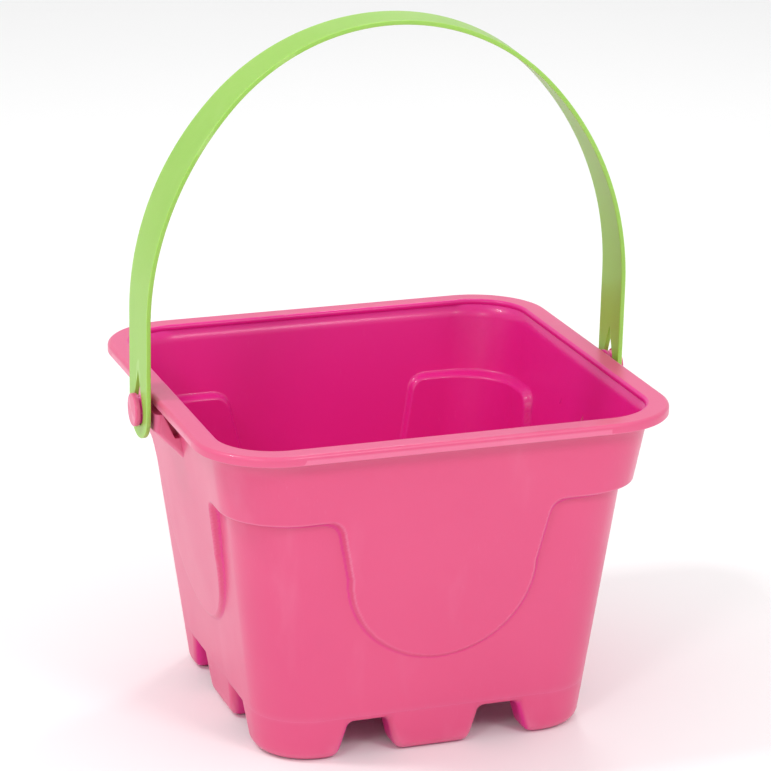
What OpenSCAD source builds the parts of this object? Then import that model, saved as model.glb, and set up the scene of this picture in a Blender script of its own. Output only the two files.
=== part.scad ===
// Child's sand bucket with a castle shaped base and a swinging strap handle.
// Millimetres, +Z up. The origin is on the ground under the middle of the
// bucket. The front face looks along -Y and the handle hinges on the X axis
// side studs.

/* [Rim] */
// width of the square rim over its outer edges
rim_w = 190; // [170:1:220]
// height of the rim's top face above the ground
rim_z = 135.5; // [130:0.5:140]
// radius of the rim's outer corners
rim_r = 31.4; // [26:0.2:34]
// width of the flat rim flange
flange_w = 9.1; // [8:0.1:10]
// thickness of the rim flange
flange_t = 2.2; // [1.6:0.1:2.6]
// height of the turned down lip, measured from the rim's top face
lip_h = 4; // [3:0.1:5]
// thickness of the turned down lip
lip_t = 1.8; // [1.2:0.1:2.4]

/* [Wall] */
// thickness of the moulded wall
wall_t = 2.2; // [1.6:0.1:2.6]
// half width of the bucket at ground level
foot_half = 67; // [64:0.5:69]
// outward slope of the band and of the shields, in mm of width per mm of height
slope = 0.1605; // [0.15:0.0005:0.165]
// outward slope of the recessed wall between the shields
recess_slope = 0.125; // [0.115:0.001:0.135]
// corner radius of the wall at ground level
foot_r = 21.7; // [18:0.1:24]
// corner radius of the wall just under the rim
top_r = 27.1; // [25:0.1:29]
// height of the lower edge of the proud band
band_z = 102.3; // [98:0.1:106]
// height and depth of the slanted lower edge of the band
band_edge = 2.4; // [1:0.1:3]

/* [Shields] */
// radius of the round lower end of each shield
shield_r = 38.5; // [34:0.5:41]
// height of the centre of that round end
shield_z = 78.5; // [74:0.5:82]
// half width of a shield where it joins the band
shield_top = 43.5; // [41:0.5:46]

/* [Castle base] */
// height of the underside of the floor
floor_z = 15.5; // [13:0.5:18]
// depth of the battlements, from the middle of the bucket to their inner side
ring_half = 56.5; // [54:0.5:58]
// corner radius of the battlements on their inner side
ring_r = 12; // [8:0.5:16]
// half width of a merlon at the floor
merlon_top = 19.2; // [17:0.1:21]
// half width of a merlon just above its foot edge
merlon_low = 15.9; // [14:0.1:16.5]
// distance from the middle plane to a corner tower at the floor
tower_top = 34.5; // [33:0.1:36]
// distance from the middle plane to a corner tower at the ground
tower_low = 39; // [37:0.1:40]
// slanted edge round the foot of the battlements
foot_edge = 2.7; // [1:0.1:3]

/* [Hinge] */
// height of the hinge axis
hinge_z = 128.5; // [127:0.5:129]
// half width of the boss that carries a stud
boss_half = 12; // [10:0.5:14]
// distance from the middle plane to the outer face of a boss
boss_x = 96; // [95.4:0.1:96.4]
// height of the top face of a boss
boss_z = 129.2; // [128.6:0.1:130.5]
// height at which the boss rises out of the wall
boss_low = 109.5; // [107:0.5:114]
// thickness of the boss's outer plate
boss_t = 3.2; // [2.4:0.1:4]
// height up to which the gap behind the plate is filled
boss_fill = 119; // [117:0.5:122]
// distance from the wall to the plate at the bottom of that gap
boss_gap = 2; // [1:0.1:2.4]
// half width of the web behind that plate
boss_web = 6.5; // [4:0.5:8]
// radius of the round pad between boss and strap
pad_r = 6.2; // [5.9:0.1:6.4]
// radius of the stud's neck
neck_r = 5.7; // [5:0.1:5.8]
// radius of the stud's head
head_r = 6.6; // [6.5:0.1:7]
// thickness of the stud's head
head_t = 2.4; // [2:0.1:3]

/* [Handle] */
// distance from the middle plane to the outer face of a strap leg
strap_x = 99.7; // [99.5:0.1:100]
// thickness of the strap
strap_t = 1.8; // [1.5:0.1:2]
// half width of the strap at its legs
strap_half = 11.5; // [10:0.5:12]
// half width of the strap at the top of the arch
strap_top_half = 8; // [6:0.1:9]
// height of the top of the arch when the handle is upright
arch_z = 279.9; // [265:0.1:290]
// height at which the legs start to curve
leg_z = 165.6; // [160:0.2:170]
// radius of the top of the arch
arch_r = 90.2; // [86:0.2:92]
// radius of the round part of the keyhole slot
slot_r = 6.1; // [6.1:0.1:6.3]
// height of the slot's tip above the hinge axis
slot_tip = 16.2; // [13:0.1:18]
// how far the handle leans to the front, in degrees
lean = 3; // [-10:0.5:10]

/* [Node] */
// node to draw

/* [Hidden] */
$fn = 96;
slice = 0.01;
rim_half = rim_w / 2;
rim_in = rim_half - flange_w;
plate_z = rim_z - flange_t;
deck_z = floor_z + wall_t;
pad_x = strap_x - strap_t - 0.6;
head_x = strap_x + 0.4;
pink = [0.91, 0.37, 0.56];
green = [0.66, 0.84, 0.42];

// the arch is made of two wide side arcs and one top arc, tangent to each other
top_c = arch_z - arch_r;
side_run = strap_x - arch_r;
side_c = (pow(top_c - leg_z, 2) - pow(side_run, 2)) / (2 * side_run);
side_r = strap_x + side_c;
blend_rise = (top_c - leg_z) / (side_r - arch_r);

// radius of the arcs that narrow the strap towards the top
narrow_z = 205;
narrow_in = strap_half - strap_top_half;
narrow_r = (pow(arch_z - narrow_z, 2) + pow(narrow_in, 2)) / (2 * narrow_in);

function main_half(z) = foot_half + slope * z;
function recess_half(z) = foot_half + recess_slope * z;
function corner_r(z) = foot_r + (top_r - foot_r) * z / plate_z;

// flat square with four round corners
module round_square(half, r) {
    square([2 * half, 2 * (half - r)], center = true);
    square([2 * (half - r), 2 * half], center = true);
    for (sx = [-1, 1], sy = [-1, 1])
        translate([sx * (half - r), sy * (half - r)]) circle(r = r);
}

// thin layer of a tapered form, for use inside hull()
module layer(z, half, r) {
    translate([0, 0, z])
        linear_extrude(height = slice) round_square(half, r, $fn = 64);
}

// tapered body between two heights with the slope of the band
module main_form(z0, z1, inset) {
    hull() {
        layer(z0, main_half(z0) - inset, corner_r(z0) - inset);
        layer(z1 - slice, main_half(z1) - inset, corner_r(z1) - inset);
    }
}

// tapered body with the slope of the recessed wall
module recess_form(z0, z1, inset) {
    hull() {
        layer(z0, recess_half(z0) - inset, corner_r(z0) - inset);
        layer(z1 - slice, recess_half(z1) - inset, corner_r(z1) - inset);
    }
}

// band under the rim, with a slanted lower edge
module band_form(z0, z1, inset) {
    hull() {
        layer(z0, main_half(z0) - inset - band_edge, corner_r(z0) - inset - band_edge);
        layer(z0 + band_edge, main_half(z0 + band_edge) - inset, corner_r(z0) - inset);
        layer(z1 - slice, main_half(z1) - inset, corner_r(z1) - inset);
    }
}

// outline of a shield, seen from the front
module shield_outline(inset) {
    translate([0, shield_z]) circle(r = shield_r - inset);
    polygon([
        [-shield_r + inset, shield_z],
        [shield_r - inset, shield_z],
        [shield_top - inset, band_z + 1],
        [shield_top + 3 - inset, band_z + 4 + inset],
        [-shield_top - 3 + inset, band_z + 4 + inset],
        [-shield_top + inset, band_z + 1]
    ]);
}

// the same outline pushed through the bucket both ways
module shield_prisms(inset) {
    for (a = [0, 90])
        rotate([0, 0, a])
            rotate([90, 0, 0])
                linear_extrude(height = 2 * rim_w, center = true) shield_outline(inset);
}

// solid form of the wall, inset to make its inside
module wall_form(z0, z1, inset) {
    recess_form(z0, band_z + inset + 3, inset);
    band_form(band_z + 0.8 * inset, z1, inset);
    intersection() {
        main_form(z0, band_z + inset + 3, inset);
        shield_prisms(inset);
    }
}

module wall() {
    color(pink)
        difference() {
            wall_form(deck_z, plate_z, 0);
            translate([0, 0, -0.5]) wall_form(deck_z, plate_z + 2, wall_t);
            translate([0, 0, plate_z]) cylinder(r = rim_w, h = 20);
        }
}

module rim_flange() {
    color(pink)
        difference() {
            translate([0, 0, rim_z - lip_h])
                linear_extrude(height = lip_h) round_square(rim_half, rim_r);
            translate([0, 0, rim_z - lip_h - 1])
                linear_extrude(height = lip_h + 2) round_square(rim_in, rim_r - flange_w);
            translate([0, 0, rim_z - lip_h - 1])
                linear_extrude(height = lip_h + 1 - flange_t) round_square(rim_half - lip_t, rim_r - lip_t);
        }
}

// hollow square inside the battlement ring
module ring_hole(inset) {
    translate([0, 0, -floor_z])
        linear_extrude(height = 4 * floor_z) round_square(ring_half + inset, ring_r + inset);
}

// upright wedge that leaves only what is beyond a corner tower's sloping side
module tower_side(inset) {
    rotate([90, 0, 0])
        linear_extrude(height = 2 * rim_w, center = true)
            polygon([
                [tower_low + inset, -1],
                [tower_top + inset, floor_z],
                [tower_top + inset, deck_z + 2],
                [rim_w, deck_z + 2],
                [rim_w, -1]
            ]);
}

// outer form of the base, with a slanted foot edge
module base_form(z0, z1, inset) {
    hull() {
        layer(z0, main_half(z0) - inset - foot_edge, corner_r(z0) - inset - foot_edge);
        layer(z0 + foot_edge, main_half(z0 + foot_edge) - inset, corner_r(z0) - inset);
        layer(z1 - slice, main_half(z1) - inset, corner_r(z1) - inset);
    }
}

// hollow L shaped corner tower in the +X +Y corner
module corner_tower() {
    color(pink)
        difference() {
            intersection() {
                base_form(0, deck_z, 0);
                tower_side(0);
                rotate([0, 0, 90]) mirror([0, 1, 0]) tower_side(0);
            }
            ring_hole(0);
            difference() {
                intersection() {
                    base_form(wall_t, deck_z + 1, wall_t);
                    tower_side(wall_t);
                    rotate([0, 0, 90]) mirror([0, 1, 0]) tower_side(wall_t);
                }
                ring_hole(wall_t);
            }
        }
}

// outline of a merlon, seen from the front
module merlon_outline(inset, z0, z1) {
    polygon([
        [-merlon_top + inset, z1],
        [merlon_top - inset, z1],
        [merlon_top - inset, floor_z],
        [merlon_low - inset, z0 + foot_edge],
        [merlon_low - inset - foot_edge, z0],
        [-merlon_low + inset + foot_edge, z0],
        [-merlon_low + inset, z0 + foot_edge],
        [-merlon_top + inset, floor_z]
    ]);
}

// section of a merlon, seen from the side
module merlon_section(inset, z0, z1) {
    polygon([
        [ring_half + inset, z0],
        [main_half(z0) - inset - foot_edge, z0],
        [main_half(z0 + foot_edge) - inset, z0 + foot_edge],
        [main_half(z1) - inset, z1],
        [ring_half + inset, z1]
    ]);
}

// solid form of the merlon on the +Y side
module merlon_form(inset, z0, z1) {
    intersection() {
        rotate([90, 0, 0])
            linear_extrude(height = 2 * rim_w, center = true) merlon_outline(inset, z0, z1);
        rotate([90, 0, 90])
            linear_extrude(height = rim_w, center = true) merlon_section(inset, z0, z1);
    }
}

module merlon() {
    color(pink)
        difference() {
            merlon_form(0, 0, deck_z);
            merlon_form(wall_t, wall_t, deck_z + 1);
        }
}

module floor_plate() {
    color(pink)
        difference() {
            main_form(floor_z, deck_z, 0);
            difference() {
                translate([0, 0, floor_z])
                    cube([2 * rim_w, 2 * merlon_top, 4 * wall_t], center = true);
                ring_hole(0);
            }
            difference() {
                translate([0, 0, floor_z])
                    cube([2 * merlon_top, 2 * rim_w, 4 * wall_t], center = true);
                ring_hole(0);
            }
            difference() {
                for (sx = [-1, 1], sy = [-1, 1])
                    translate([sx * (tower_top + 50), sy * (tower_top + 50), floor_z])
                        cube([100, 100, 4 * wall_t], center = true);
                ring_hole(0);
            }
        }
}

// section of a bracket: its outer line, closed by the points behind it
module boss_outline(behind) {
    polygon(concat(
        [
            [boss_x, boss_z],
            [boss_x, hinge_z - 6.5],
            [main_half(boss_low), boss_low]
        ],
        behind
    ));
}

// bracket on the wall under the rim, on the +X side: a plate that leans out
// from the wall, and a narrower web behind it
module boss() {
    color(pink)
        rotate([90, 0, 0]) {
            linear_extrude(height = 2 * boss_half, center = true)
                boss_outline([
                    [main_half(boss_fill), boss_fill],
                    [main_half(boss_fill) + boss_gap, boss_fill],
                    [boss_x - boss_t, boss_z]
                ]);
            linear_extrude(height = 2 * boss_web, center = true)
                boss_outline([[main_half(boss_z), boss_z]]);
        }
}

// pad, neck and head of the stud on the +X side
module stud() {
    color(pink)
        translate([0, 0, hinge_z])
            rotate([0, 90, 0])
                rotate_extrude()
                    polygon([
                        [0, boss_x],
                        [pad_r, boss_x],
                        [pad_r, pad_x],
                        [neck_r, pad_x],
                        [neck_r, head_x],
                        [head_r, head_x],
                        [head_r, head_x + head_t - 0.7],
                        [head_r - 0.7, head_x + head_t],
                        [0, head_x + head_t]
                    ]);
}

// area inside the arch, seen from the front
module arch_area(inset) {
    turn_z = top_c + (arch_r - inset) * blend_rise;
    intersection() {
        translate([-side_c, leg_z]) circle(r = side_r - inset);
        translate([side_c, leg_z]) circle(r = side_r - inset);
        translate([-rim_w, leg_z - 1]) square([2 * rim_w, turn_z - leg_z + 1.2]);
    }
    intersection() {
        translate([0, top_c]) circle(r = arch_r - inset);
        translate([-rim_w, turn_z]) square([2 * rim_w, rim_w]);
    }
    translate([-strap_x + inset, 60])
        square([2 * (strap_x - inset), leg_z - 60]);
}

// outline of the strap, seen from the side
module strap_outline() {
    translate([0, hinge_z]) circle(r = strap_half);
    translate([-strap_half, hinge_z]) square([2 * strap_half, narrow_z - hinge_z]);
    intersection() {
        translate([narrow_r - strap_half, narrow_z]) circle(r = narrow_r, $fn = 720);
        translate([strap_half - narrow_r, narrow_z]) circle(r = narrow_r, $fn = 720);
        translate([-strap_half, narrow_z]) square([2 * strap_half, rim_w]);
    }
}

// keyhole slot, seen from the side
module slot_outline() {
    tip_a = asin(slot_r / slot_tip);
    circle(r = slot_r);
    polygon([
        [0, slot_tip],
        [-slot_r * cos(tip_a), slot_r * sin(tip_a)],
        [0, 0],
        [slot_r * cos(tip_a), slot_r * sin(tip_a)]
    ]);
}

module upright_handle() {
    difference() {
        intersection() {
            rotate([90, 0, 0])
                linear_extrude(height = 2 * strap_half + 2, center = true)
                    difference() {
                        arch_area(0);
                        arch_area(strap_t);
                        translate([-strap_x + strap_t, 59])
                            square([2 * (strap_x - strap_t), 2]);
                    }
            rotate([90, 0, 90])
                linear_extrude(height = 2 * rim_w, center = true) strap_outline();
        }
        translate([0, 0, hinge_z])
            rotate([90, 0, 90])
                linear_extrude(height = 2 * rim_w, center = true) slot_outline();
    }
}

// the strap, leaning about the hinge axis
module handle() {
    color(green)
        translate([0, 0, hinge_z])
            rotate([lean, 0, 0])
                translate([0, 0, -hinge_z]) upright_handle();
}

module tower_front_left() {
    rotate([0, 0, 180]) corner_tower();
}

module tower_front_right() {
    rotate([0, 0, -90]) corner_tower();
}

module tower_back_left() {
    rotate([0, 0, 90]) corner_tower();
}

module tower_back_right() {
    corner_tower();
}

module merlon_front() {
    rotate([0, 0, 180]) merlon();
}

module merlon_back() {
    merlon();
}

module merlon_left() {
    rotate([0, 0, 90]) merlon();
}

module merlon_right() {
    rotate([0, 0, -90]) merlon();
}

module boss_left() {
    rotate([0, 0, 180]) boss();
}

module boss_right() {
    boss();
}

module stud_left() {
    rotate([0, 0, 180]) stud();
}

module stud_right() {
    stud();
}

wall();
floor_plate();
rim_flange();
tower_front_left();
tower_front_right();
tower_back_left();
tower_back_right();
merlon_front();
merlon_back();
merlon_left();
merlon_right();
boss_left();
boss_right();
stud_left();
stud_right();
handle();
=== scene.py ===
"""Looks of the castle sand bucket: pink moulding, green strap handle, studio floor, light and camera."""

import logging
import math
from dataclasses import dataclass, field
from enum import Enum
from typing import Callable, Iterable, Optional, Sequence, Union

import bmesh
import bpy
import numpy as np
from mathutils import Matrix, Vector

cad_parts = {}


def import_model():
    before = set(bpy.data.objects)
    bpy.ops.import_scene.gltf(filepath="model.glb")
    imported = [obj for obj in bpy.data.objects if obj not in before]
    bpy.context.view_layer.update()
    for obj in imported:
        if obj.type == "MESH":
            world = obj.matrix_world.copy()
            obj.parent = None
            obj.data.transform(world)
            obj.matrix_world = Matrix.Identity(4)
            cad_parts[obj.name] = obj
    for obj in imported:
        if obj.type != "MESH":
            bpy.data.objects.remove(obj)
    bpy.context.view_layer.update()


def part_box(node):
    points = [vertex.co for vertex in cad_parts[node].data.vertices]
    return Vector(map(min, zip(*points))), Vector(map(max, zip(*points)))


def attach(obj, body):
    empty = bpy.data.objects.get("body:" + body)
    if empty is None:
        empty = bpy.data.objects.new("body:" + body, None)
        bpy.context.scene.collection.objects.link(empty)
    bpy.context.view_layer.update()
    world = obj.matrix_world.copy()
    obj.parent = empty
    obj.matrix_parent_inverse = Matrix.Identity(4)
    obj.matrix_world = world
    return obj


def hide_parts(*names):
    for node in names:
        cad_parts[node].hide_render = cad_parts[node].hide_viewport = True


LOG = logging.getLogger("sand_bucket")
MM = 0.001
RIM_PULL = 0.35  # how strongly height counts as outside, for the painted sheen
SHEEN_FROM = 0.1  # height in metres from which level faces get the painted outside sheen

Number = Union[int, float]
Colour = tuple[float, float, float]
Point = tuple[float, float, float]
Flat = tuple[float, float]


# ---------------------------------------------------------------- shader maths


class Sum(Enum):
    """Math node operations by plain name."""

    ADD = "ADD"
    SUBTRACT = "SUBTRACT"
    MULTIPLY = "MULTIPLY"


class Signal:
    """A shader socket that takes part in Python arithmetic by adding Math nodes."""

    def __init__(self, graph: "Graph", socket: bpy.types.NodeSocket) -> None:
        """Wraps a socket.

        Args:
            graph: The graph that new nodes go into.
            socket: The output socket that carries the value.
        """
        self.graph = graph
        self.socket = socket

    def _with(self, kind: Sum, first: "Operand", second: "Operand") -> "Signal":
        """Adds one Math node.

        Args:
            kind: The operation.
            first: The first operand.
            second: The second operand.

        Returns:
            The node's result.
        """
        return self.graph.add("ShaderNodeMath", {"operation": kind.value}, {0: first, 1: second})

    def __add__(self, other: "Operand") -> "Signal":
        """Sum of this and another value."""
        return self._with(Sum.ADD, self, other)

    def __radd__(self, other: "Operand") -> "Signal":
        """Sum with a plain number on the left."""
        return self._with(Sum.ADD, other, self)

    def __sub__(self, other: "Operand") -> "Signal":
        """This minus another value."""
        return self._with(Sum.SUBTRACT, self, other)

    def __rsub__(self, other: "Operand") -> "Signal":
        """A plain number minus this."""
        return self._with(Sum.SUBTRACT, other, self)

    def __mul__(self, other: "Operand") -> "Signal":
        """Product of this and another value."""
        return self._with(Sum.MULTIPLY, self, other)

    def __rmul__(self, other: "Operand") -> "Signal":
        """Product with a plain number on the left."""
        return self._with(Sum.MULTIPLY, other, self)

    def spread(self, low: Number, high: Number) -> "Signal":
        """Maps the range low to high onto 0 to 1, clamped.

        Args:
            low: Value that becomes 0.
            high: Value that becomes 1.

        Returns:
            The mapped value.
        """
        settings = {"clamp": True, "interpolation_type": "SMOOTHSTEP"}
        return self.graph.add("ShaderNodeMapRange", settings, {0: self, 1: low, 2: high, 3: 0.0, 4: 1.0})


Operand = Union[Signal, Number]
Feed = Union[Signal, Number, Sequence[float]]


class Graph:
    """The node tree of one material."""

    def __init__(self, name: str) -> None:
        """Makes an empty material.

        Args:
            name: The material's name.
        """
        self.material = bpy.data.materials.new(name)
        self.material.use_nodes = True
        self.tree = self.material.node_tree
        self.tree.nodes.clear()

    def node(
        self,
        kind: str,
        settings: dict[str, object],
        inputs: dict[Union[str, int], Feed],
    ) -> bpy.types.Node:
        """Adds one node, sets it up and links it.

        Args:
            kind: The node's type.
            settings: Attributes of the node, set first.
            inputs: Values or signals for its sockets, by name or index.

        Returns:
            The node.
        """
        made = self.tree.nodes.new(kind)
        for key, value in settings.items():
            setattr(made, key, value)
        for key, value in inputs.items():
            socket = made.inputs[key]
            if isinstance(value, Signal):
                self.tree.links.new(value.socket, socket)
            else:
                socket.default_value = value
        return made

    def add(
        self,
        kind: str,
        settings: dict[str, object],
        inputs: dict[Union[str, int], Feed],
        output: Union[str, int] = 0,
    ) -> Signal:
        """Adds one node and returns one of its outputs.

        Args:
            kind: The node's type.
            settings: Attributes of the node, set first.
            inputs: Values or signals for its sockets.
            output: Name or index of the output wanted.

        Returns:
            The output as a signal.
        """
        return Signal(self, self.node(kind, settings, inputs).outputs[output])

    def tint(self, factor: Operand, first: Feed, second: Feed) -> Signal:
        """Mixes two colours.

        Args:
            factor: 0 gives the first colour, 1 the second.
            first: The first colour, as four numbers or a signal.
            second: The second colour.

        Returns:
            The mixed colour.
        """
        settings = {"data_type": "RGBA", "clamp_factor": True}
        return self.add("ShaderNodeMix", settings, {0: factor, 6: first, 7: second}, 2)

    def noise(self, where: Signal, scale: Number, detail: Number = 3.0, rough: Number = 0.5) -> Signal:
        """Adds a noise texture.

        Args:
            where: The coordinates.
            scale: Features per metre.
            detail: Octaves of finer noise.
            rough: Strength of the finer octaves.

        Returns:
            The noise value, about 0 to 1.
        """
        inputs = {"Vector": where, "Scale": scale, "Detail": detail, "Roughness": rough}
        return self.add("ShaderNodeTexNoise", {"noise_dimensions": "3D"}, inputs, "Fac")

    def place(self) -> Signal:
        """Coordinates fixed to the piece, in metres."""
        return self.add("ShaderNodeTexCoord", {}, {}, "Object")

    def stretch(self, where: Signal, scale: Point) -> Signal:
        """Scales coordinates per axis.

        Args:
            where: The coordinates.
            scale: Factor along each axis.

        Returns:
            The scaled coordinates.
        """
        return self.add("ShaderNodeVectorMath", {"operation": "MULTIPLY"}, {0: where, 1: scale})

    def along(self, first: Feed, second: Feed) -> Signal:
        """Dot product of two vectors."""
        inputs = {0: first, 1: second}
        return self.add("ShaderNodeVectorMath", {"operation": "DOT_PRODUCT"}, inputs, "Value")

    def outward(self, where: Signal) -> Signal:
        """Mask of the painted sheen and shade: above 0 on the outside and on the rim, below 0 on the
        inside and on the floor of the bucket.
        """
        normal = self.add("ShaderNodeNewGeometry", {}, {}, "Normal")
        side = self.along(self.stretch(where, (1.0, 1.0, 0.0)), normal)
        height = self.along(where, (0.0, 0.0, RIM_PULL))
        return side + height - RIM_PULL * SHEEN_FROM

    def edges(self) -> Signal:
        """About 0.5 on flat faces, more along outer edges and less along inner ones."""
        return self.add("ShaderNodeNewGeometry", {}, {}, "Pointiness")

    def bump(self, height: Signal, strength: Number, distance: Number) -> Signal:
        """Turns a height into a normal.

        Args:
            height: The height signal.
            strength: 0 to 1.
            distance: Height of a full step, in metres.

        Returns:
            The normal.
        """
        inputs = {"Strength": strength, "Distance": distance, "Height": height}
        return self.add("ShaderNodeBump", {}, inputs, "Normal")

    def finish(self, shader: bpy.types.Node) -> bpy.types.Material:
        """Connects the shader to the output and returns the material."""
        out = self.tree.nodes.new("ShaderNodeOutputMaterial")
        self.tree.links.new(shader.outputs[0], out.inputs["Surface"])
        return self.material


def rgba(colour: Colour) -> tuple[float, float, float, float]:
    """A colour with full opacity."""
    return (*colour, 1.0)


# ---------------------------------------------------------------------- finishes


@dataclass(frozen=True)
class MouldedPlastic:
    """Glossy injection moulded polypropylene with play wear, painted sheen outside and painted shade
    inside and in creases; scales are in features per metre.
    """

    name: str
    colour: Colour
    deep: Colour
    pale: Colour
    # Colour of the painted shade, inside the bucket and in creases.
    shaded: Colour
    roughness: float = 0.3
    glow: float = 0.12
    glow_depth: float = 0.004
    glow_spread: Point = (1.0, 0.45, 0.5)
    ior: float = 1.42
    coat: float = 0.1
    coat_roughness: float = 0.07
    cloud_scale: float = 14.0
    cloud_share: float = 0.55
    flow_scale: float = 60.0
    flow_share: float = 0.12
    # Share of the painted shade in creases.
    crease_shade_share: float = 0.75
    rubbed_share: float = 0.35
    mark_scale: float = 1500.0
    mark_axis: Point = (1.0, 1.0, 0.12)
    patch_scale: float = 38.0
    scuff_share: float = 0.08
    peel_scale: float = 900.0
    swell_scale: float = 170.0
    relief: float = 0.16
    relief_depth: float = 0.0002

    def scuffs(self, g: Graph, where: Signal) -> Signal:
        """Patches of fine upright scratches, 0 to 1."""
        marks = g.noise(g.stretch(where, self.mark_axis), self.mark_scale, 2.0, 0.6)
        patches = g.noise(where, self.patch_scale, 2.0)
        return marks.spread(0.62, 0.74) * patches.spread(0.5, 0.72)

    def body(self, g: Graph, where: Signal, clouds: Signal, scuffs: Signal) -> Signal:
        """Mixes the colour.

        Args:
            g: The material's graph.
            where: Coordinates fixed to the piece.
            clouds: Broad noise.
            scuffs: The scratched patches.

        Returns:
            The colour: cloudy, paler outside as painted sheen, saturated inside and in creases as painted
                shade, pale on rubbed edges and scratches.
        """
        flow = g.noise(g.stretch(where, (1.0, 1.0, 0.25)), self.flow_scale, 3.0)
        made = g.tint(clouds.spread(0.35, 0.7) * self.cloud_share, rgba(self.colour), rgba(self.deep))
        made = g.tint(flow.spread(0.55, 0.8) * self.flow_share, made, rgba(self.pale))
        # Painted light: the outside and the rim keep the paler colour as a painted sheen; the inside and
        # the floor take the shaded colour as painted shade.
        outside = g.outward(where).spread(-0.025, 0.025)
        made = g.tint(outside, rgba(self.shaded), made)
        # Painted shade: creases and inner edges, found by pointiness, turn towards the shaded colour.
        painted_crease_shade = 1.0 - g.edges().spread(0.45, 0.496)
        made = g.tint(painted_crease_shade * self.crease_shade_share, made, rgba(self.shaded))
        rubbed = g.edges().spread(0.506, 0.56) * outside
        made = g.tint(rubbed * self.rubbed_share, made, rgba(self.pale))
        return g.tint(scuffs * self.scuff_share, made, rgba(self.pale))

    def material(self) -> bpy.types.Material:
        """Builds the material: cloudy colour, painted sheen outside, painted shade inside and in creases,
        rubbed edges, fine scratches and orange peel.

        Returns:
            The material.
        """
        g = Graph(self.name)
        where = g.place()
        clouds = g.noise(where, self.cloud_scale, 4.0, 0.55)
        scuffs = self.scuffs(g, where)
        peel = g.noise(where, self.peel_scale, 2.0)
        swell = g.noise(where, self.swell_scale, 1.0)
        shader = g.node(
            "ShaderNodeBsdfPrincipled",
            {"subsurface_method": "RANDOM_WALK"},
            {
                "Base Color": self.body(g, where, clouds, scuffs),
                "Roughness": self.roughness + 0.06 * clouds.spread(0.3, 0.7) + 0.14 * scuffs,
                "IOR": self.ior,
                "Subsurface Weight": self.glow,
                "Subsurface Radius": self.glow_spread,
                "Subsurface Scale": self.glow_depth,
                "Coat Weight": self.coat,
                "Coat Roughness": self.coat_roughness,
                "Normal": g.bump(peel + 0.5 * swell - 0.2 * scuffs, self.relief, self.relief_depth),
            },
        )
        return g.finish(shader)


@dataclass(frozen=True)
class PaleFloor:
    """Matt white studio floor."""

    name: str = "studio_floor"
    colour: Colour = (0.93, 0.93, 0.93)

    def material(self) -> bpy.types.Material:
        """Builds the material, with a very faint mottling.

        Returns:
            The material.
        """
        g = Graph(self.name)
        cloud = g.noise(g.place(), 3.0, 2.0)
        body = g.tint(cloud, rgba(self.colour), rgba((0.95, 0.95, 0.95)))
        return g.finish(g.node("ShaderNodeBsdfPrincipled", {}, {"Base Color": body, "Roughness": 0.75}))


# In both plastics, colour is the outside colour, made paler as a painted sheen, and shaded is the painted
# shade inside and in creases.
PINK = MouldedPlastic(
    name="pink_plastic",
    colour=(0.7, 0.083, 0.212),
    deep=(0.675, 0.073, 0.202),
    pale=(0.85, 0.32, 0.47),
    shaded=(0.73, 0.012, 0.25),
)
GREEN = MouldedPlastic(
    name="green_plastic",
    colour=(0.31, 0.55, 0.085),
    deep=(0.26, 0.51, 0.065),
    pale=(0.5, 0.7, 0.27),
    shaded=(0.27, 0.55, 0.06),
    roughness=0.4,
    glow=0.4,
    glow_depth=0.003,
    glow_spread=(0.6, 1.0, 0.35),
)


# ------------------------------------------------------------------ mesh drafts


@dataclass
class Draft:
    """Points and faces of a mesh in millimetres, gathered before it becomes an object."""

    points: list[Point] = field(default_factory=list)
    faces: list[tuple[int, ...]] = field(default_factory=list)

    def ring(self, points: Iterable[Point]) -> list[int]:
        """Adds points and returns their numbers."""
        start = len(self.points)
        self.points.extend(points)
        return list(range(start, len(self.points)))

    def strip(
        self,
        first: Sequence[int],
        second: Sequence[int],
        closed: bool,
        keep: Optional[Callable[[int], bool]] = None,
    ) -> None:
        """Joins two rows of points with four-sided faces.

        Args:
            first: Numbers of the first row.
            second: Numbers of the second row, as many as the first.
            closed: Whether the rows close on themselves.
            keep: Test of a face's number; without one, all are kept.
        """
        count = len(first) if closed else len(first) - 1
        for i in range(count):
            if keep is None or keep(i):
                j = (i + 1) % len(first)
                self.faces.append((first[i], first[j], second[j], second[i]))

    def build(self, name: str, material: bpy.types.Material, closed: bool = True) -> bpy.types.Object:
        """Makes the object, in metres and smooth shaded.

        Args:
            name: The object's name.
            material: Its material.
            closed: Whether the mesh has an inside, so that its faces can be turned outwards.

        Returns:
            The object.
        """
        mesh = bpy.data.meshes.new(name)
        scaled = [(x * MM, y * MM, z * MM) for x, y, z in self.points]
        mesh.from_pydata(scaled, [], self.faces)
        mesh.validate()
        if closed:
            work = bmesh.new()
            work.from_mesh(mesh)
            bmesh.ops.recalc_face_normals(work, faces=work.faces)
            work.to_mesh(mesh)
            work.free()
        mesh.materials.append(material)
        mesh.shade_smooth()
        made = bpy.data.objects.new(name, mesh)
        bpy.context.scene.collection.objects.link(made)
        return made


def arc(centre: Flat, radius: float, start: float, end: float, steps: int) -> list[Flat]:
    """Points on a flat arc.

    Args:
        centre: The arc's centre.
        radius: Its radius.
        start: First angle in degrees.
        end: Last angle in degrees.
        steps: Number of steps.

    Returns:
        The points, both ends included.
    """
    angles = np.radians(np.linspace(start, end, steps + 1))
    return [(centre[0] + radius * math.cos(a), centre[1] + radius * math.sin(a)) for a in angles]


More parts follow.
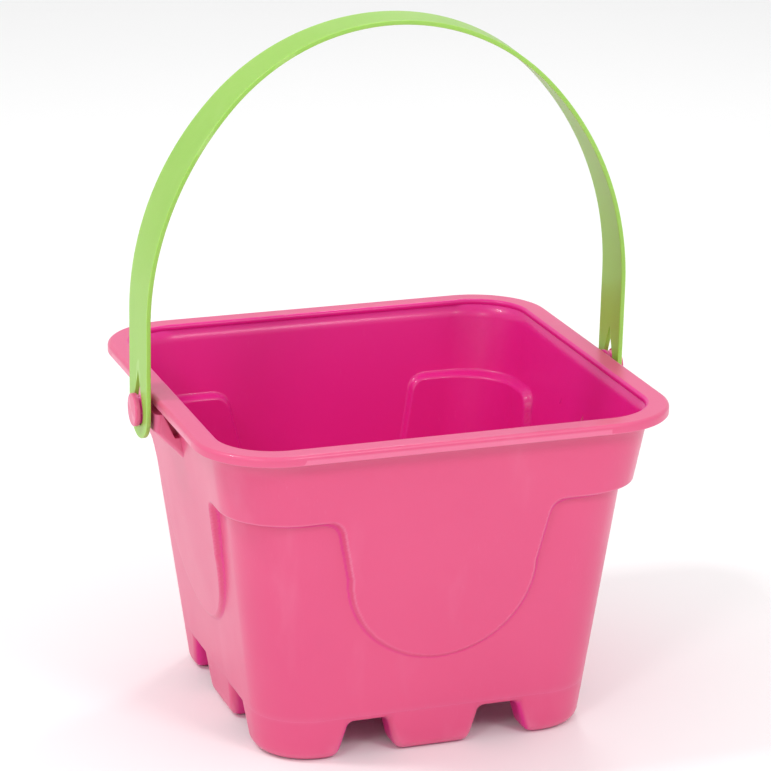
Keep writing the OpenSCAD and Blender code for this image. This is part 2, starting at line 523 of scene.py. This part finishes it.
def edges_round(
    made: bpy.types.Object,
    width: float,
    steps: int,
    by_weight: bool = False,
    angle: float = 30.0,
) -> None:
    """Adds a Bevel modifier.

    Args:
        made: The object.
        width: Width in millimetres.
        steps: Segments of the round.
        by_weight: Whether edge weights set the width.
        angle: Smallest angle that is rounded, in degrees.
    """
    bevel = made.modifiers.new("rounded_edges", "BEVEL")
    bevel.width = width * MM
    bevel.segments = steps
    bevel.limit_method = "WEIGHT" if by_weight else "ANGLE"
    bevel.angle_limit = math.radians(angle)
    bevel.use_clamp_overlap = not by_weight


def even_shading(made: bpy.types.Object) -> None:
    """Adds a Weighted Normal modifier, so flat faces look flat beside rounded edges."""
    normals = made.modifiers.new("even_shading", "WEIGHTED_NORMAL")
    normals.keep_sharp = True
    normals.weight = 80


@dataclass(frozen=True)
class SquareLoop:
    """Points round a square with round corners, in the same columns at every height."""

    straight: tuple[float, ...]
    corner_steps: int = 40

    @property
    def reach(self) -> float:
        """Half length of the part of a side that keeps fixed columns."""
        return self.straight[-1]

    def side(self, number: int) -> tuple[Vector, Vector]:
        """Outward normal and running direction of a side: 0 front, 1 right, 2 back, 3 left."""
        normal = [Vector((0, -1)), Vector((1, 0)), Vector((0, 1)), Vector((-1, 0))][number]
        return normal, Vector((-normal.y, normal.x))

    def columns(self) -> list[tuple[int, str, float]]:
        """Every column as its side, its kind and its place along the side or through the corner."""
        made: list[tuple[int, str, float]] = []
        for number in range(4):
            made += [(number, "side", s) for s in self.straight]
            made += [(number, "corner", i / self.corner_steps) for i in range(1, self.corner_steps)]
        return made

    def corner(self, share: float, half: float, radius: float) -> tuple[float, float, float]:
        """A point between two sides, in the first side's own axes.

        Args:
            share: 0 at this side's last fixed column, 1 at the next side's first.
            half: Half width of the square.
            radius: Radius of its corners.

        Returns:
            Distance along the side, distance out, and distance walked from the side's middle.
        """
        end = max(half - radius, 0.0)
        start = min(self.reach, end)
        lead = end - start
        walk = share * (2 * lead + math.pi * radius / 2)
        if walk < lead:
            return start + walk, half, start + walk
        turn = (walk - lead) / radius
        if turn < math.pi / 2:
            return end + radius * math.sin(turn), end + radius * math.cos(turn), start + walk
        back = walk - lead - math.pi * radius / 2
        return half, end - back, start + lead + lead + math.pi * radius / 2 - walk

    def loop(self, half: float, radius: float, z: float) -> list[Point]:
        """One closed loop.

        Args:
            half: Half width of the square.
            radius: Radius of its corners.
            z: Height.

        Returns:
            The points, counter-clockwise from above.
        """
        made = []
        for number, kind, place in self.columns():
            normal, along = self.side(number)
            if kind == "side":
                run = math.copysign(min(abs(place), half - radius), place)
                flat = normal * half + along * run
            else:
                run, out, _ = self.corner(place, half, radius)
                flat = normal * out + along * run
            made.append((flat.x, flat.y, z))
        return made


# ------------------------------------------------------------------ sub-assemblies


@dataclass
class Bucket:
    """The moulded bucket: its own sizes, in millimetres, shared by its wall, base, rim and bosses."""

    foot_half: float = 67.0
    slope: float = 0.1605
    recess_slope: float = 0.125
    foot_r: float = 21.7
    top_r: float = 27.1
    wall_t: float = 2.2
    band_z: float = 102.3
    shield_r: float = 38.5
    shield_z: float = 78.5
    shield_top: float = 43.5
    reach: float = 45.0
    body: str = "bucket"
    slot: str = "bucket_plastic"

    def __post_init__(self) -> None:
        """Reads the heights from the frame."""
        self.deck_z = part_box("floor_plate")[1].z / MM
        self.floor_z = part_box("floor_plate")[0].z / MM
        self.plate_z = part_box("wall")[1].z / MM
        self.rim_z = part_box("rim_flange")[1].z / MM
        self.rim_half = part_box("rim_flange")[1].x / MM

    def main_half(self, z: float) -> float:
        """Half width over the band and the shields at a height."""
        return self.foot_half + self.slope * z

    def recess_half(self, z: float) -> float:
        """Half width over the recessed wall at a height."""
        return self.foot_half + self.recess_slope * z

    def step(self, z: float) -> float:
        """Height of the relief over the recessed wall at a height."""
        return self.main_half(z) - self.recess_half(z)

    def corner_r(self, z: float) -> float:
        """Radius of the wall's corners at a height."""
        return self.foot_r + (self.top_r - self.foot_r) * z / self.plate_z

    def wear_of(self, made: bpy.types.Object, nodes: Sequence[str]) -> bpy.types.Object:
        """Rides a piece on the bucket in place of its nodes.

        Args:
            made: The piece.
            nodes: CAD nodes that it stands for.

        Returns:
            The piece.
        """
        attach(made, self.body)
        if nodes:
            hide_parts(*nodes)
        LOG.info("%s built, %d points", made.name, len(made.data.vertices))
        return made


@dataclass
class Wall:
    """The wall with its band under the rim and a shield hanging from it on each side."""

    bucket: Bucket
    cell: float = 0.6
    fillet: float = 6.0
    outer_round: float = 1.7
    inner_round: float = 1.1
    margin: float = 3.0
    hem: float = 0.05

    def edge_gap(self, s: float, z: float) -> float:
        """Distance outside the proud area of a side, negative inside it.

        Args:
            s: Distance along the side from its middle.
            z: Height.

        Returns:
            The distance in millimetres.
        """
        b = self.bucket
        side = abs(s)
        if z > b.shield_z:
            flare = (b.shield_top - b.shield_r) / (b.band_z - b.shield_z)
            shield = side - b.shield_r - flare * (z - b.shield_z)
        else:
            shield = math.hypot(side, z - b.shield_z) - b.shield_r
        band = b.band_z - z
        near = max(self.fillet - abs(shield - band), 0.0) / self.fillet
        return min(shield, band) - near * near * self.fillet / 4

    def snapped(self, s: float, z: float, inset: float) -> Flat:
        """Moves a point that is almost on the foot or the brink of the relief's edge onto it.

        Args:
            s: Distance along the side.
            z: Height.
            inset: How far the edge itself lies inside the outer one.

        Returns:
            The new distance and height.
        """
        gap = self.edge_gap(s, z) + inset
        brink = gap + (self.inner_round if inset else self.outer_round)
        gap = min(gap, brink, key=abs)
        if abs(gap) > self.cell * 0.5:
            return s, z
        step = 0.05
        slope_s = (self.edge_gap(s + step, z) - self.edge_gap(s - step, z)) / (2 * step)
        slope_z = (self.edge_gap(s, z + step) - self.edge_gap(s, z - step)) / (2 * step)
        size = slope_s**2 + slope_z**2 or 1.0
        return s - gap * slope_s / size, z - gap * slope_z / size

    def rise(self, gap: float, radius: float) -> float:
        """Share of the full relief at a distance from its edge."""
        return min(max(-gap / radius, 0.0), 1.0)

    def heights(self) -> list[float]:
        """Heights of the rows, close together where the relief is."""
        b = self.bucket
        low = b.shield_z - b.shield_r - self.margin
        rows = [b.deck_z, *np.linspace(b.deck_z + self.hem, low, 6)[:-1]]
        dense = int((b.band_z - low) / self.cell)
        rows += [b.band_z - self.cell * i for i in range(dense, 0, -1)]
        rows += [b.band_z + self.cell * i for i in range(9)]
        top = rows[-1]
        return rows + list(np.linspace(top, b.plate_z, 6)[1:])

    def skin(self, draft: Draft, loop: SquareLoop, inset: float) -> list[list[int]]:
        """Adds one face of the wall.

        Args:
            draft: The mesh draft.
            loop: The columns.
            inset: 0 for the outside, the wall's thickness for the inside.

        Returns:
            Numbers of its points, row by row from the bottom.
        """
        b = self.bucket
        radius = self.inner_round if inset else self.outer_round
        rows = []
        for z in self.heights():
            points = []
            for number, kind, place in loop.columns():
                normal, along = loop.side(number)
                if kind == "side":
                    edge = b.deck_z + 1 < z < b.plate_z - 1
                    run, high = self.snapped(place, z, inset) if edge else (place, z)
                    depth = b.step(high) * (1 - self.rise(self.edge_gap(run, high) + inset, radius))
                    out = b.main_half(high) - inset - depth
                else:
                    high = z
                    walk = loop.corner(place, b.main_half(z), b.corner_r(z))[2]
                    depth = b.step(z) * (1 - self.rise(self.edge_gap(walk, z) + inset, radius))
                    half, turn_r = b.main_half(z) - inset - depth, b.corner_r(z) - inset
                    run, out, _ = loop.corner(place, half, turn_r)
                flat = normal * out + along * run
                points.append((flat.x, flat.y, high))
            rows.append(draft.ring(points))
        return rows

    def build(self, material: bpy.types.Material) -> bpy.types.Object:
        """Makes the wall.

        Args:
            material: The bucket's plastic.

        Returns:
            The object.
        """
        b = self.bucket
        steps = int(b.reach / self.cell)
        side = [b.reach * i / steps for i in range(-steps, steps + 1)]
        loop = SquareLoop(tuple(side))
        draft = Draft()
        outside = self.skin(draft, loop, 0.0)
        inside = self.skin(draft, loop, b.wall_t)
        rows = outside + inside[::-1]
        for low, high in zip(rows, rows[1:] + rows[:1]):
            draft.strip(low, high, True)
        made = draft.build("bucket_wall", material)
        return b.wear_of(made, ["wall"])


@dataclass
class CastleBase:
    """The raised floor and the hollow battlements round it, a thin closed skin."""

    bucket: Bucket
    ring_half: float = 56.5
    ring_r: float = 12.0
    merlon_top: float = 19.2
    merlon_foot: float = 15.2
    tower_top: float = 34.5
    tower_foot: float = 38.9
    foot_round: float = 4.0
    side_round: float = 3.4
    edge_round: float = 1.9
    inner_round: float = 0.8
    hem: float = 0.05

    def places(self, z: float, inset: float) -> tuple[float, ...]:
        """Places along a side of the fixed columns, which follow the sloping sides of the gaps.

        Args:
            z: Height.
            inset: 0 for the outer skin, the wall's thickness for the inner one.

        Returns:
            The middle, a merlon's side, the middle of the gap, a tower's side and the last column.
        """
        down = 1 - min(max(z / self.bucket.floor_z, 0.0), 1.0)
        merlon = self.merlon_top + (self.merlon_foot - self.merlon_top) * down - inset
        tower = self.tower_top + (self.tower_foot - self.tower_top) * down + inset
        return 0.0, merlon / 2, merlon, (merlon + tower) / 2, tower, self.bucket.reach

    def skin(self, draft: Draft, inset: float) -> list[int]:
        """Adds one skin of the base.

        Args:
            draft: The mesh draft.
            inset: 0 for the outer skin, the wall's thickness for the inner one.

        Returns:
            Numbers of the points of its uppermost outer loop.
        """
        b = self.bucket
        top = b.floor_z + inset
        outer, ring = [], []
        for z in (top, (top + inset) / 2, inset):
            known = self.places(z, inset)
            loop = SquareLoop(tuple(-s for s in known[:0:-1]) + known)
            outer.append(draft.ring(loop.loop(b.recess_half(z) - inset, b.corner_r(z) - inset, z)))
            ring.append(draft.ring(loop.loop(self.ring_half + inset, self.ring_r + inset, z)))
        kinds = loop.columns()
        place_of = [abs(k[2] + 0.01) if k[1] == "side" else b.reach for k in kinds]
        low, high = self.places(inset, inset)[2], self.places(inset, inset)[4]
        gap = [low <= p < high for p in place_of]
        around = [*outer, *ring[::-1]]
        for first, second in zip(around, around[1:]):
            draft.strip(first, second, True, lambda i: not gap[i])
        draft.strip(ring[0], outer[0], True, lambda i: gap[i])
        for i, open_here in enumerate(gap):
            if open_here != gap[i - 1]:
                for k in (0, 1):
                    draft.faces.append((outer[k][i], outer[k + 1][i], ring[k + 1][i], ring[k][i]))
        middle = [draft.ring(loop.loop(self.ring_half * k, self.ring_r * k, top)) for k in (0.6, 0.2)]
        draft.strip(ring[0], middle[0], True)
        draft.strip(middle[0], middle[1], True)
        draft.faces.append(tuple(middle[1]))
        return outer[0]

    def weigh(self, made: bpy.types.Object, inner_from: int, count: int) -> None:
        """Marks how round each edge is, and keeps the hidden edges round the raised floor sharp.

        Args:
            made: The base before its modifiers.
            inner_from: Number of the inner skin's first point.
            count: Points in one loop.
        """
        mesh = made.data
        mark = mesh.attributes.new("bevel_weight_edge", "FLOAT", "EDGE")
        above_floor = (self.bucket.floor_z + 0.5) * MM
        normals: dict[tuple[int, int], list[Vector]] = {}
        for face in mesh.polygons:
            for key in face.edge_keys:
                normals.setdefault(key, []).append(face.normal.copy())
        for edge in mesh.edges:
            around = normals.get(edge.key, [])
            ends = [mesh.vertices[v] for v in edge.vertices]
            if len(around) != 2 or around[0].angle(around[1], 0.0) < math.radians(25):
                continue
            if all(v.co.z > above_floor for v in ends) and ends[0].index < inner_from:
                continue
            loops = [v.index // count for v in ends]
            if ends[0].index >= inner_from:
                width = self.inner_round
            elif all(number % 2 or number > 5 for number in loops):
                edge.use_edge_sharp = True
                continue
            elif all(v.co.z < 0.5 * MM for v in ends):
                width = self.foot_round
            elif loops[0] % 2 != loops[1] % 2 or abs(ends[0].co.z - ends[1].co.z) > 5 * MM:
                width = self.side_round
            else:
                width = self.edge_round
            mark.data[edge.index].value = width / self.foot_round

    def build(self, material: bpy.types.Material) -> bpy.types.Object:
        """Makes the base.

        Args:
            material: The bucket's plastic.

        Returns:
            The object.
        """
        b = self.bucket
        draft = Draft()
        outer = self.skin(draft, 0.0)
        known = self.places(b.floor_z, 0.0)
        loop = SquareLoop(tuple(-s for s in known[:0:-1]) + known)
        lip = outer
        for z in (b.deck_z - self.hem, b.deck_z):
            below, lip = lip, draft.ring(loop.loop(b.recess_half(z), b.corner_r(z), z))
            draft.strip(below, lip, True)
        inner_from = len(draft.points)
        inner = self.skin(draft, b.wall_t)
        draft.strip(lip, inner, True)
        made = draft.build("castle_base", material)
        self.weigh(made, inner_from, len(outer))
        edges_round(made, self.foot_round, 4, by_weight=True)
        even_shading(made)
        towers = [f"tower_{y}_{x}" for y in ("front", "back") for x in ("left", "right")]
        merlons = [f"merlon_{side}" for side in ("front", "back", "left", "right")]
        return b.wear_of(made, ["floor_plate", *towers, *merlons])


@dataclass
class Rim:
    """The flat flange with its turned down lip."""

    bucket: Bucket
    corner_r: float = 31.4
    width: float = 9.1
    plate_t: float = 2.2
    lip_h: float = 4.0
    lip_t: float = 1.8
    mouth_r: float = 1.3
    edge_r: float = 1.5
    lip_r: float = 0.5
    crook_r: float = 0.7

    def profile(self) -> list[Flat]:
        """Section of the rim as distance in from the outer edge, and height."""
        top = self.bucket.rim_z
        low = top - self.lip_h + self.lip_r
        under = top - self.plate_t
        made = arc((self.width - self.mouth_r, top - self.mouth_r), self.mouth_r, 0, 90, 6)
        made += arc((self.edge_r, top - self.edge_r), self.edge_r, 90, 180, 6)
        made += arc((self.lip_r, low), self.lip_r, 180, 270, 3)
        made += arc((self.lip_t - self.lip_r, low), self.lip_r, 270, 360, 3)
        made += arc((self.lip_t + self.crook_r, under - self.crook_r), self.crook_r, 180, 90, 3)
        made += [(self.width - 0.2, under), (self.width, under + 0.2)]
        return made

    def build(self, material: bpy.types.Material) -> bpy.types.Object:
        """Makes the rim.

        Args:
            material: The bucket's plastic.

        Returns:
            The object.
        """
        loop = SquareLoop((-60.0, -30.0, 0.0, 30.0, 60.0), 48)
        draft = Draft()
        rings = [
            draft.ring(loop.loop(self.bucket.rim_half - across, self.corner_r - across, z))
            for across, z in self.profile()
        ]
        for first, second in zip(rings, rings[1:] + rings[:1]):
            draft.strip(second, first, True)
        made = draft.build("rim_flange_plate", material)
        even_shading(made)
        return self.bucket.wear_of(made, ["rim_flange"])


class Side(Enum):
    """The two sides that carry a stud, with their sign along X."""

    LEFT = -1
    RIGHT = 1

    @property
    def word(self) -> str:
        """The side's name in lower case."""
        return self.name.lower()


@dataclass
class Pivot:
    """A boss under the rim and the headed stud on it."""

    bucket: Bucket
    side: Side
    plate_t: float = 3.2
    web_half: float = 6.5
    gap_floor: float = 119.0
    gap_w: float = 2.0
    bend_drop: float = 6.5
    sink: float = 0.3
    side_round: float = 2.6
    pad_t: float = 1.3
    neck_r: float = 5.7
    pad_r: float = 6.2
    head_t: float = 2.4

    def __post_init__(self) -> None:
        """Reads the stud's place from the frame."""
        low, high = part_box(f"stud_{self.side.word}")
        self.axis_z = (low.z + high.z) / 2 / MM
        self.head_r = (high.z - low.z) / 2 / MM
        self.inner_x = min(abs(low.x), abs(high.x)) / MM
        self.outer_x = max(abs(low.x), abs(high.x)) / MM

    def slab(self, draft: Draft, outline: Sequence[Flat], half: float, cut: float) -> None:
        """Adds an outline in the XZ plane, pushed both ways along Y.

        Args:
            draft: The mesh draft.
            outline: Places along X, for the right side, and heights; the first three face outwards.
            half: Half width along Y.
            cut: Radius of the round on its outer side edges.
        """
        sign = self.side.value
        turns = [math.radians(18 * i) for i in range(6)]
        rounds = [(half - cut * (1 - math.sin(t)), cut * (1 - math.cos(t))) for t in turns]
        rings = []
        for y, back in [(-y, back) for y, back in rounds[::-1]] + rounds:
            moved = [(x - back * (i < 3), z) for i, (x, z) in enumerate(outline)]
            rings.append(draft.ring([(sign * x, y, z) for x, z in moved]))
        for first, second in zip(rings, rings[1:]):
            draft.strip(first, second, True)
        draft.faces += [tuple(rings[0]), tuple(rings[-1])]

    def build_boss(self, material: bpy.types.Material) -> bpy.types.Object:
        """Makes the boss: a plate that leans out from the wall, and a narrower web behind it.

        Args:
            material: The bucket's plastic.

        Returns:
            The object.
        """
        low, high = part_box(f"boss_{self.side.word}")
        b = self.bucket
        top, bottom = high.z / MM, low.z / MM
        bend, fill = self.axis_z - self.bend_drop, self.gap_floor
        wall_low, wall_fill, wall_top = (b.main_half(z) - self.sink for z in (bottom, fill, top))
        plate = [(self.inner_x, top), (self.inner_x, bend), (wall_low, bottom), (wall_fill, fill)]
        plate += [(wall_fill + self.sink + self.gap_w, fill), (self.inner_x - self.plate_t, top)]
        core = self.inner_x - 1.2
        web = [(core, top - 0.4), (core, bend), (wall_fill + 1.3, fill - 1.0)]
        web += [(wall_fill - 0.5, fill - 1.0), (wall_top, top - 0.4)]
        draft = Draft()
        self.slab(draft, plate, high.y / MM, self.side_round)
        self.slab(draft, web, self.web_half, 0.4)
        made = draft.build(f"stud_boss_{self.side.word}", material)
        edges_round(made, 0.6, 3)
        even_shading(made)
        return b.wear_of(made, [f"boss_{self.side.word}"])

    def build_stud(self, material: bpy.types.Material) -> bpy.types.Object:
        """Makes the stud: pad, neck and flat head, turned about X.

        Args:
            material: The bucket's plastic.

        Returns:
            The object.
        """
        head_x = self.outer_x - self.head_t
        pad_x = self.inner_x + self.pad_t
        rim = 0.7
        root_x = self.inner_x - 0.5
        section = [(0.01, root_x), (self.pad_r, root_x), (self.pad_r, pad_x - 0.2)]
        section += [(self.pad_r - 0.2, pad_x), (self.neck_r + 0.2, pad_x)]
        section += [(self.neck_r, pad_x + 0.2), (self.neck_r, head_x - 0.2)]
        section += [(self.neck_r + 0.2, head_x), (self.head_r - 0.3, head_x), (self.head_r, head_x + 0.3)]
        section += arc((self.head_r - rim, self.outer_x - 0.15 - rim), rim, 0, 80, 6)
        section += [(self.head_r * 0.5, self.outer_x - 0.04), (0.01, self.outer_x)]
        steps = 64
        draft = Draft()
        rings = []
        for radius, x in section:
            turn = [2 * math.pi * i / steps for i in range(steps)]
            flat = [(radius * math.cos(a), self.axis_z + radius * math.sin(a)) for a in turn]
            rings.append(draft.ring([(self.side.value * x, y, z) for y, z in flat]))
        for first, second in zip(rings, rings[1:]):
            draft.strip(first, second, True)
        draft.faces += [tuple(rings[0]), tuple(rings[-1])]
        made = draft.build(f"headed_stud_{self.side.word}", material)
        even_shading(made)
        return self.bucket.wear_of(made, [f"stud_{self.side.word}"])


@dataclass
class Strap:
    """The handle: a thin arched strap with a rounded end and a keyhole slot on each leg."""

    thickness: float = 1.8
    half: float = 11.5
    top_half: float = 8.0
    narrow_z: float = 205.0
    leg_z: float = 165.6
    top: float = 279.9
    arch_r: float = 90.2
    slot_r: float = 6.1
    slot_tip: float = 16.2
    twist: float = 2.4
    lean: float = 3.0
    edge_round: float = 0.45
    body: str = "strap"
    slot: str = "strap_plastic"

    def __post_init__(self) -> None:
        """Reads the arch's width and the hinge from the frame."""
        self.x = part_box("handle")[1].x / MM
        self.axis_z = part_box("stud_right")[0].z / MM / 2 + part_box("stud_right")[1].z / MM / 2
        self.top_c = self.top - self.arch_r
        run = self.x - self.arch_r
        self.side_c = ((self.top_c - self.leg_z) ** 2 - run**2) / (2 * run)
        self.side_r = self.x + self.side_c

    def path(self) -> list[tuple[float, float, float]]:
        """Right half of the outer face, from the leg up: place along X, height, angle of the normal."""
        start = self.axis_z + self.slot_tip + 6
        made = [(self.x, z, 0.0) for z in np.linspace(start, self.leg_z, 8)[:-1]]
        turn = math.asin((self.top_c - self.leg_z) / (self.side_r - self.arch_r))
        for a in np.linspace(0, turn, 30)[:-1]:
            x = self.side_r * math.cos(a) - self.side_c
            made.append((x, self.leg_z + self.side_r * math.sin(a), a))
        for a in np.linspace(turn, math.pi / 2, 26):
            made.append((self.arch_r * math.cos(a), self.top_c + self.arch_r * math.sin(a), a))
        return made

    def half_at(self, z: float) -> float:
        """Half width of the strap at a height."""
        rise = max(z - self.narrow_z, 0.0) / (self.top - self.narrow_z)
        return self.half - (self.half - self.top_half) * rise * rise

    def place(self, sign: int, x: float, y: float, z: float, normal: float) -> Point:
        """A point of the outer face, with the strap's slight twist.

        Args:
            sign: -1 on the left half, 1 on the right.
            x: Distance from the middle plane.
            y: Place across the strap.
            z: Height.
            normal: Angle of the face's normal above the X axis.

        Returns:
            The point.
        """
        out = y * math.tan(math.radians(self.twist)) * math.cos(normal) ** 2
        up = z + out * math.sin(normal) - self.axis_z
        c, s = math.cos(math.radians(self.lean)), math.sin(math.radians(self.lean))
        return (sign * (x + out * math.cos(normal)), y * c - up * s, self.axis_z + y * s + up * c)

    def hole(self, angle: float) -> float:
        """Radius of the keyhole slot at an angle from straight up, in radians."""
        limit = math.acos(self.slot_r / self.slot_tip)
        return self.slot_r / math.cos(limit - abs(angle)) if abs(angle) < limit else self.slot_r

    def end_plate(self, draft: Draft, sign: int, across: Sequence[float], top_row: list[int]) -> None:
        """Adds the rounded end of a leg with its slot.

        Args:
            draft: The mesh draft.
            sign: -1 for the left leg, 1 for the right.
            across: Places of the strap's columns across its width, from -1 to 1.
            top_row: Numbers of the strap's lowest row, which the plate joins.
        """
        rise = self.slot_tip + 6
        edge = [(v * self.half, rise) for v in across]
        edge += [(self.half, rise * k) for k in (0.8, 0.6, 0.4, 0.2)]
        edge += [(y, z) for y, z in arc((0.0, 0.0), self.half, 0, -180, 26)]
        edge += [(-self.half, rise * k) for k in (0.2, 0.4, 0.6, 0.8)]
        angles = [math.atan2(y, z) for y, z in edge]
        holes = [(self.hole(a) * math.sin(a), self.hole(a) * math.cos(a)) for a in angles]

        def flat(row: Iterable[Flat]) -> list[int]:
            """Adds points of the flat end, given across the strap and up from the hinge."""
            return draft.ring([self.place(sign, self.x, y, self.axis_z + z, 0.0) for y, z in row])

        rings = []
        for share in (0.0, 0.12, 0.55, 0.9):
            pairs = [(Vector(hole), Vector(rim)) for hole, rim in zip(holes, edge)]
            rings.append(flat(tuple(hole.lerp(rim, share)) for hole, rim in pairs))
        rings.append(list(top_row) + flat(edge[len(across):]))
        for first, second in zip(rings, rings[1:]):
            low, high = (first, second) if sign > 0 else (second, first)
            draft.strip(low, high, True)

    def build(self, material: bpy.types.Material) -> bpy.types.Object:
        """Makes the strap.

        Args:
            material: The strap's plastic.

        Returns:
            The object.
        """
        across = [i / 4 for i in range(-4, 5)]
        right = self.path()
        draft = Draft()
        rows = []
        for sign, part in ((1, right), (-1, right[-2::-1])):
            for x, z, normal in part:
                half = self.half_at(z)
                rows.append(draft.ring([self.place(sign, x, v * half, z, normal) for v in across]))
        for first, second in zip(rows, rows[1:]):
            draft.strip(first, second, False)
        self.end_plate(draft, 1, across, rows[0])
        self.end_plate(draft, -1, across, rows[-1])
        made = draft.build("strap_handle", material, closed=False)
        thick = made.modifiers.new("strap_thickness", "SOLIDIFY")
        thick.thickness = self.thickness * MM
        thick.offset = -1.0
        thick.use_even_offset = True
        edges_round(made, self.edge_round, 3, angle=50)
        even_shading(made)
        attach(made, self.body)
        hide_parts("handle")
        LOG.info("%s built, %d points", made.name, len(made.data.vertices))
        return made


# ------------------------------------------------------------------------ studio


@dataclass(frozen=True)
class Lamp:
    """A soft square light over the bucket: its place and size in metres, its power in watts."""

    name: str
    at: Point
    size: float
    power: float

    def hang(self) -> None:
        """Adds the light, turned to the bucket."""
        data = bpy.data.lights.new(self.name, "AREA")
        data.shape = "SQUARE"
        data.size = self.size
        data.energy = self.power
        lamp = bpy.data.objects.new(self.name, data)
        lamp.location = self.at
        lamp.rotation_mode = "QUATERNION"
        lamp.rotation_quaternion = (Vector(LAMP_AIM) - Vector(self.at)).to_track_quat("-Z", "Y")
        bpy.context.scene.collection.objects.link(lamp)


LAMP_AIM = (0.0, 0.0, 0.1)
LAMPS = (
    Lamp("key_light", (-1.1, -1.2, 1.0), 0.3, 4.5),
    Lamp("front_light", (0.4, -1.2, 1.1), 0.35, 5.0),
    Lamp("left_light", (-0.95, 0.1, 1.4), 0.2, 6.0),
    Lamp("back_light", (0.5, 0.9, 1.3), 0.2, 3.0),
)


@dataclass
class Studio:
    """Floor, light and camera."""

    surround: float = 0.82
    floor_half: float = 9.0
    aim: Point = (0.0022, 0.0, 0.1285)
    azimuth: float = -18.64
    elevation: float = 17.32
    roll: float = 0.27
    distance: float = 1.326
    lens: float = 154.9

    def build_floor(self) -> None:
        """Lays the floor."""
        draft = Draft()
        h = self.floor_half / MM
        draft.faces.append(tuple(draft.ring([(-h, -h, 0), (h, -h, 0), (h, h, 0), (-h, h, 0)])))
        floor = draft.build("studio_floor", PaleFloor().material())
        floor.location.z = -0.0002

    def build_light(self) -> None:
        """Sets a white surround and hangs the lamps."""
        world = bpy.data.worlds.new("studio_surround")
        world.use_nodes = True
        back = world.node_tree.nodes["Background"]
        back.inputs["Color"].default_value = (1.0, 1.0, 1.0, 1.0)
        back.inputs["Strength"].default_value = self.surround
        bpy.context.scene.world = world
        bpy.context.scene.view_settings.view_transform = "Standard"
        for lamp in LAMPS:
            lamp.hang()

    def build_camera(self) -> None:
        """Places the camera on its orbit round the bucket."""
        a, e = math.radians(self.azimuth), math.radians(self.elevation)
        back = Vector((math.sin(a) * math.cos(e), -math.cos(a) * math.cos(e), math.sin(e)))
        data = bpy.data.cameras.new("studio_camera")
        data.lens = self.lens
        data.sensor_width = 36.0
        data.clip_start, data.clip_end = 0.05, 60.0
        camera = bpy.data.objects.new("studio_camera", data)
        camera.location = Vector(self.aim) + back * self.distance
        turn = (-back).to_track_quat("-Z", "Y").to_matrix().to_4x4()
        camera.rotation_euler = (turn @ Matrix.Rotation(math.radians(self.roll), 4, "Z")).to_euler()
        bpy.context.scene.collection.objects.link(camera)
        bpy.context.scene.camera = camera


def main() -> None:
    """Builds every piece in order and reports it."""
    logging.basicConfig(level=logging.INFO, format="%(message)s")
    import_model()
    pink, green = PINK.material(), GREEN.material()
    bucket = Bucket()
    Wall(bucket).build(pink)
    CastleBase(bucket).build(pink)
    Rim(bucket).build(pink)
    for side in Side:
        pivot = Pivot(bucket, side)
        pivot.build_boss(pink)
        pivot.build_stud(pink)
    Strap().build(green)
    studio = Studio()
    studio.build_floor()
    studio.build_light()
    studio.build_camera()


if __name__ == "__main__":
    main()
